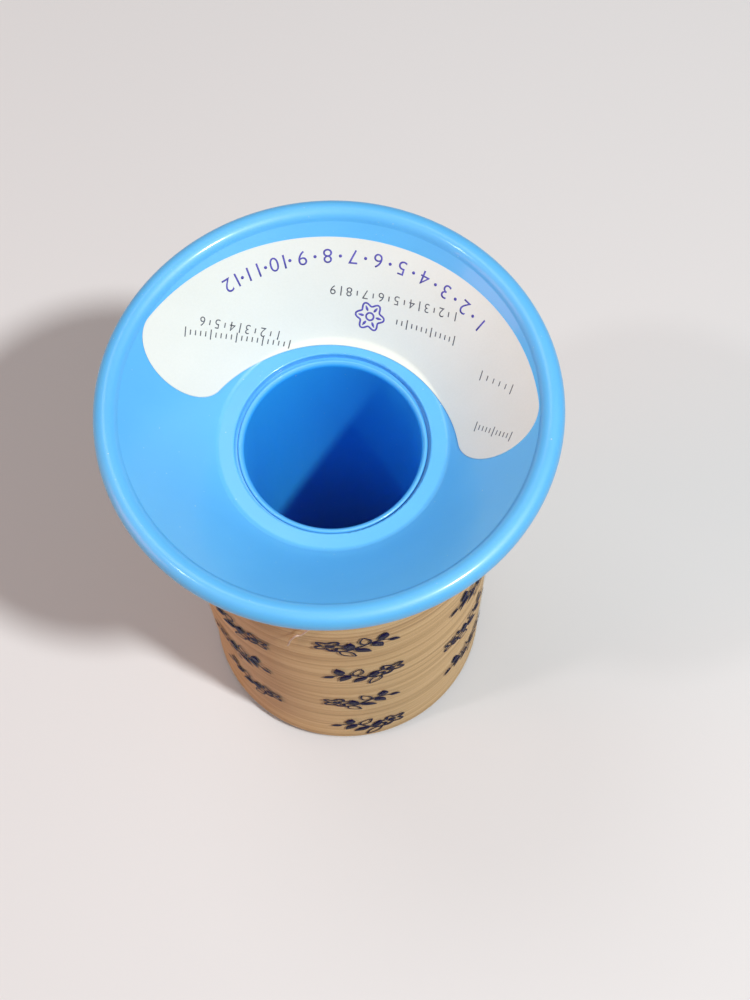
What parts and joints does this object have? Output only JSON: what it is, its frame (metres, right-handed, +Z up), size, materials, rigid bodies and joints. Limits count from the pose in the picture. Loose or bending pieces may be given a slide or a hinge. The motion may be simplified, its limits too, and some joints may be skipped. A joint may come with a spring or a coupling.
{
  "type": "spool of thread",
  "caption": "Sewing thread wound on a plastic spool with a dished flange, clear film around the thread, a paper label and a loose thread end.",
  "frame": {"origin": "middle of the spool's footprint, on the surface that it stands on", "axes": "+Z up along the barrel to the dished flange, -Y to the side that the picture shows"},
  "size_m": [0.08, 0.08, 0.116],
  "materials": {
    "blue_plastic": "satin",
    "thread": "matte",
    "clear_film": "gloss",
    "label_paper": "matte"
  },
  "bodies": {
    "root": {"base_flange": "blue_plastic", "spool_barrel": "blue_plastic", "thread_core": "thread", "thread_turns": "thread", "thread_tail": "thread", "film_wrap": "clear_film", "flange_label": "label_paper"}
  },
  "joints": []
}
